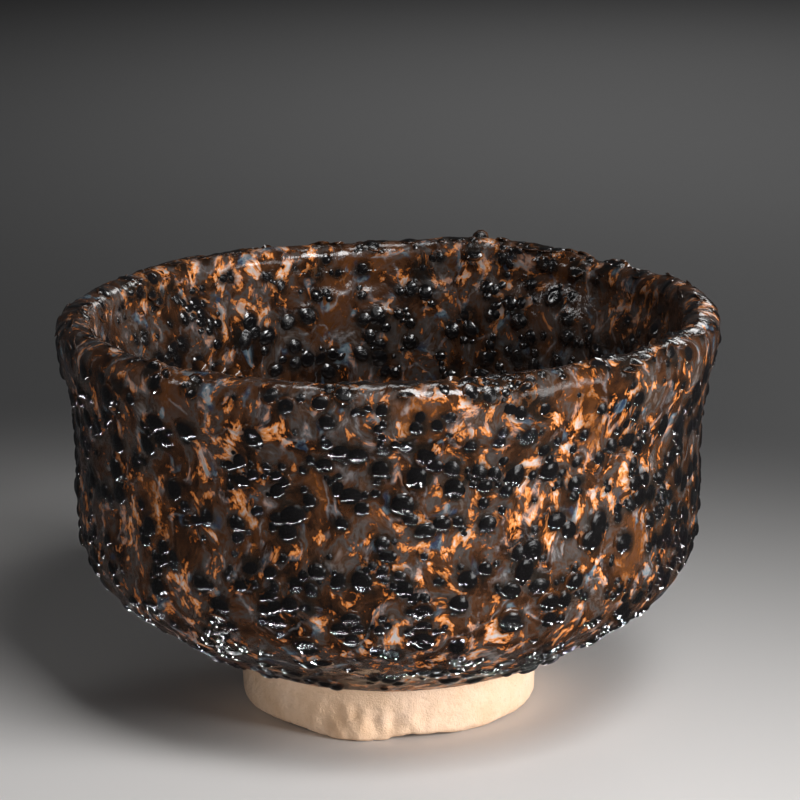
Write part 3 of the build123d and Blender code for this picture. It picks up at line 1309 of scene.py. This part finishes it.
@dataclass
class FootRing:
    """The bare foot, cut and pressed by hand, with lumps, pits and an uneven lower edge."""

    columns: int = 288
    wall_rows: int = 26
    corner_rows: int = 8
    under_rows: int = 6
    recess_rows: int = 8
    lump: float = 0.34 * MM
    pit: float = 0.16 * MM
    sweep: float = 0.9 * MM
    buried: float = 0.3 * MM
    ring_width: float = 5.6 * MM
    rounding: float = 1.5 * MM
    recess_rounding: float = 0.8 * MM
    recess_draft: float = 0.6 * MM
    nicks: tuple[tuple[float, float, float], ...] = (
        (-83.0, 5.0, 0.75 * MM),
        (-70.0, 7.0, 0.35 * MM),
        (-132.0, 9.0, 0.30 * MM),
    )
    edge_wave: float = 0.25 * MM
    nick_height: float = 3.0 * MM
    top_fade: float = 2.0 * MM
    fingers: tuple[float, float] = (-97.0, 24.0)
    finger_height: float = 3.6 * MM
    finger_reach: float = 3.4 * MM
    finger_depth: float = 1.15 * MM
    bulge: tuple[float, float] = (-104.0, 13.0)
    bulge_reach: float = 3.2 * MM
    bulge_depth: float = 1.1 * MM

    def rows(self) -> list[Row]:
        """The foot's section, from the top of its outside down, under it and up the recess.

        Returns:
            The rows. Those of the resting face have no cover.
        """
        low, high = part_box("foot_ring")
        radius, top = high.x, high.z
        side, sweep = radius - 0.2 * MM, self.sweep
        shoulder = top + self.buried - sweep
        rows = []
        for k in range(self.corner_rows):
            turn = math.pi / 2 * (1 + k / self.corner_rows)
            out, up = math.cos(turn), math.sin(turn)
            rows.append(Row(side + sweep * (1 + out), shoulder + sweep * up, -out, -up))
        drop = (shoulder - self.rounding) / self.wall_rows
        rows += [Row(side, shoulder - drop * k, 1.0, 0.0) for k in range(self.wall_rows)]
        for k in range(self.corner_rows):
            turn = math.pi / 2 * k / (self.corner_rows - 1)
            out, down = math.cos(turn), math.sin(turn)
            rows.append(Row(side - self.rounding * (1 - out), self.rounding * (1 - down), out, -down))
        flat, inner = side - self.rounding, radius - self.ring_width
        under, half = self.under_rows, self.corner_rows // 2
        rows += [Row(flat + (inner - flat) * k / under, 0.0, cover=0.0) for k in range(1, under + 1)]
        for k in range(1, half + 1):
            turn = math.pi / 2 * k / half
            draw, lift = math.sin(turn), 1 - math.cos(turn)
            edge = self.recess_rounding
            rows.append(Row(inner - edge * draw, edge * lift, -draw, lift - 1))
        wall, low_edge = inner - self.recess_rounding, self.recess_rounding
        count = self.recess_rows
        rise, draft = (top - low_edge) / count, self.recess_draft / count
        return rows + [Row(wall - draft * k, low_edge + rise * k, -1.0) for k in range(1, count + 1)]

    def build(self, material: bpy.types.Material) -> bpy.types.Object:
        """Builds the foot.

        Args:
            material: its finish.

        Returns:
            The piece.
        """
        made = turned(self.rows(), self.columns, True)
        out, up, cover = (made.verts.layers.float[name] for name in ROW_LAYERS)
        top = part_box("foot_ring")[1].z
        for vertex in made.verts:
            point = vertex.co.copy()
            turn = math.atan2(point.y, point.x)
            share = vertex[cover] * max(0.0, min(1.0, (top - point.z) / self.top_fade + 0.15))
            across = Vector((point.x, point.y, 0.0)).normalized()
            normal = across * vertex[out] + Vector((0.0, 0.0, vertex[up]))
            vertex.co = point + normal * self.pushed(point, turn) * share
            nick = sum(depth * swell(turn, centre, width) for centre, width, depth in self.nicks)
            nick += self.edge_wave * max(0.0, noise.noise(point * 90.0))
            vertex.co.z = max(vertex.co.z, 0.0) + nick * max(0.0, 1.0 - point.z / self.nick_height)
        return finished(made, "cut_foot", material, "foot_ring")

    def pushed(self, point: Vector, turn: float) -> float:
        """How far the clay stands out at a point.

        Args:
            point: a point of the true foot.
            turn: its angle about the axis, in radians.

        Returns:
            The height above the true foot.
        """
        tall = Vector((point.x, point.y, point.z * 0.45))
        out = noise.noise(point * 85.0) * self.lump + noise.noise(point * 240.0) * self.lump * 0.35
        away = (point.z - self.finger_height) / self.finger_reach
        pressed = swell(turn, *self.fingers) * math.exp(-(away**2))
        out += pressed * noise.noise(tall * 520.0) * self.finger_depth
        low = math.exp(-((point.z / self.bulge_reach) ** 2))
        out += swell(turn, *self.bulge) * low * self.bulge_depth
        hole = noise.noise(point * 700.0)
        return out - self.pit * max(0.0, hole - 0.28) * 3.0 + noise.noise(point * 1300.0) * 0.04 * MM


@dataclass(frozen=True)
class SoftLamp:
    """A soft square lamp that the camera doesn't see."""

    name: str
    place: tuple[float, float, float]
    aim: tuple[float, float, float]
    width: float
    height: float
    power: float
    spread: float = 180.0
    use: LampUse = LampUse.BOTH

    def make(self) -> bpy.types.Object:
        """Builds the lamp.

        Returns:
            The lamp.
        """
        light = bpy.data.lights.new(self.name, "AREA")
        light.shape = "RECTANGLE"
        light.size, light.size_y = self.width, self.height
        light.energy = self.power
        light.spread = math.radians(self.spread)
        lamp = bpy.data.objects.new(self.name, light)
        lamp.location = self.place
        lamp.rotation_mode = "QUATERNION"
        lamp.rotation_quaternion = (Vector(self.aim) - Vector(self.place)).to_track_quat("-Z", "Y")
        lamp.visible_camera = False
        lamp.visible_diffuse, lamp.visible_glossy = self.use.value
        bpy.context.scene.collection.objects.link(lamp)
        return lamp


@dataclass
class Studio:
    """Camera, lamps, table and the dim room round them."""

    camera_place: tuple[float, float, float] = (0.0022, -0.520, 0.1936)
    pitch: float = 14.74
    lens: float = 129.9
    room_grey: Colour = (0.026, 0.026, 0.027)
    table_radius: float = 2.2
    table_rise: float = 1.4
    table_gap: float = 0.03 * MM
    lamps: tuple[SoftLamp, ...] = (
        SoftLamp("key", (0.45, -0.23, 0.20), (0.0, -0.02, 0.03), 0.12, 0.20, 2.3, use=LampUse.FILL),
        SoftLamp("high right", (0.16, -0.30, 0.50), (0.0, -0.05, 0.0), 0.22, 0.20, 1.9),
        SoftLamp("low front", (-0.07, -0.42, 0.035), (0.0, -0.03, 0.03), 0.12, 0.03, 0.62, use=LampUse.FILL),
        SoftLamp("front card", (-0.05, -0.50, 0.55), (0.0, 0.0, 0.04), 0.50, 0.30, 0.28, use=LampUse.GLOSS),
        SoftLamp("left strip", (-0.50, -0.10, 0.34), (0.0, 0.0, 0.07), 0.03, 0.12, 0.20, use=LampUse.GLOSS),
        SoftLamp("overhead", (-0.04, 0.12, 0.60), (0.0, 0.0, 0.03), 0.16, 0.12, 0.4, use=LampUse.GLOSS),
        SoftLamp("rear", (0.25, 0.55, 0.32), (0.0, 0.0, 0.05), 0.20, 0.10, 0.3),
        SoftLamp("far wash", (0.15, 0.75, 0.70), (0.10, 0.76, 0.0), 0.5, 0.3, 1.1, 80.0),
    )
    outer_lamps: tuple[SoftLamp, ...] = (
        SoftLamp("key gloss", (0.45, -0.23, 0.20), (0.0, -0.02, 0.03), 0.09, 0.14, 2.6, use=LampUse.GLOSS),
        SoftLamp("side fill", (0.48, -0.26, 0.14), (0.0, -0.02, 0.04), 0.16, 0.16, 2.4, use=LampUse.FILL),
        SoftLamp("side card", (0.50, -0.40, 0.12), (0.0, 0.0, 0.04), 0.26, 0.20, 0.45, use=LampUse.GLOSS),
    )
    sparkle_turns: tuple[float, ...] = (-106.0, -84.0, -40.0, 5.0, 40.0, 80.0, 118.0, 160.0, 205.0, 230.0)
    sparkle_reach: float = 0.30
    sparkle_drop: float = -0.31
    sparkle_size: tuple[float, float] = (0.025, 0.022)
    sparkle_power: float = 0.40

    def build(self) -> None:
        """Builds the studio."""
        camera = bpy.data.objects.new("camera", bpy.data.cameras.new("camera"))
        camera.location = self.camera_place
        camera.rotation_euler = (math.radians(90.0 - self.pitch), 0.0, 0.0)
        camera.data.lens, camera.data.sensor_width = self.lens, 36.0
        camera.data.clip_start, camera.data.clip_end = 0.01, 20.0
        camera.data.dof.use_dof = False
        bpy.context.scene.collection.objects.link(camera)
        bpy.context.scene.camera = camera
        for lamp in self.lamps:
            lamp.make()
        world = bpy.data.worlds.new("dim room")
        world.use_nodes = True
        world.node_tree.nodes["Background"].inputs["Color"].default_value = (*self.room_grey, 1.0)
        bpy.context.scene.world = world
        self.table()
        bpy.context.scene.view_settings.view_transform = "Standard"

    def light_some(self, name: str, pieces: list[bpy.types.Object], lamps: list[SoftLamp]) -> None:
        """Adds lamps that only light some of the pieces.

        Args:
            name: what the pieces are called together.
            pieces: the pieces.
            lamps: the lamps.
        """
        lit = bpy.data.collections.new(name)
        for piece in pieces:
            lit.objects.link(piece)
        for lamp in lamps:
            lamp.make().light_linking.receiver_collection = lit

    def sparkles(self) -> list[SoftLamp]:
        """Lays out the small low lamps all round, which show as specks on the beads' undersides.

        Returns:
            The lamps.
        """
        made = []
        for number, turn in enumerate(map(math.radians, self.sparkle_turns), 1):
            reach = self.sparkle_reach
            place = (reach * math.cos(turn), reach * math.sin(turn), self.sparkle_drop)
            shape = (*self.sparkle_size, self.sparkle_power)
            made.append(SoftLamp(f"low sparkle {number}", place, (0.0, 0.0, 0.04), *shape, use=LampUse.GLOSS))
        return made

    def table(self) -> None:
        """Builds the round table with its upturned edge."""
        made = bmesh.new()
        bmesh.ops.create_circle(made, cap_ends=True, segments=96, radius=self.table_radius)
        bmesh.ops.translate(made, verts=made.verts, vec=(0, 0, -self.table_gap))
        edge = [e for e in made.edges if e.is_boundary]
        grown = bmesh.ops.extrude_edge_only(made, edges=edge)["geom"]
        upturned = [part for part in grown if isinstance(part, bmesh.types.BMVert)]
        bmesh.ops.translate(made, verts=upturned, vec=(0, 0, self.table_rise))
        bmesh.ops.reverse_faces(made, faces=[f for f in made.faces if f.normal.z < 0])
        mesh = bpy.data.meshes.new("table")
        made.to_mesh(mesh)
        made.free()
        mesh.materials.append(PaleTable().make())
        table = bpy.data.objects.new("table", mesh)
        table.visible_glossy = False
        bpy.context.scene.collection.objects.link(table)


def main() -> None:
    """Builds the bowl and the studio in order, and reports each piece."""
    logging.basicConfig(level=logging.INFO, format="%(message)s")
    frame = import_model()
    studio = Studio()
    studio.build()
    effects = Effects()
    clay, glass = BareClay().make(effects), BeadGlass().make(effects)
    finishes = {
        Zone.OUTSIDE: RunGlaze("run glaze outside", 0.0, 0.0, band_cream=0.025).make(effects),
        Zone.LIP: RunGlaze("run glaze lip", 0.02, 0.03, roughness=0.05).make(effects),
        Zone.INSIDE: RunGlaze("run glaze inside", -0.03, 0.03, band_cream=0.045).make(effects),
    }
    slots = {Zone.OUTSIDE: "brown_glaze", Zone.LIP: "amber_glaze", Zone.INSIDE: "brown_glaze"}

    skin = CadSkin(frame["nodes"])
    form = ThrownForm(height=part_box("lip_glaze")[1].z)
    beads = BeadField(skin)
    beads.read_cad()
    beads.scatter()
    log.info("%d beads", len(beads.beads))
    relief = GlazeRelief(beads)
    ClayShell(frame["nodes"]["clay_body"], form).build(clay)
    foot = FootRing().build(clay)
    coats, groups = [], []
    for seed, zone in enumerate(Zone):
        columns = 544 if zone is Zone.INSIDE else 608
        coats.append(GlazeCoat(zone, skin, relief, form, columns=columns).build(finishes[zone], slots[zone]))
        groups.append(BeadGroup(zone, relief, form, seed).build(glass))
    studio.light_some("beads", groups, studio.sparkles())
    studio.light_some("outer gloss", [foot, *coats[:2], *groups], list(studio.outer_lamps))


if __name__ == "__main__":
    main()
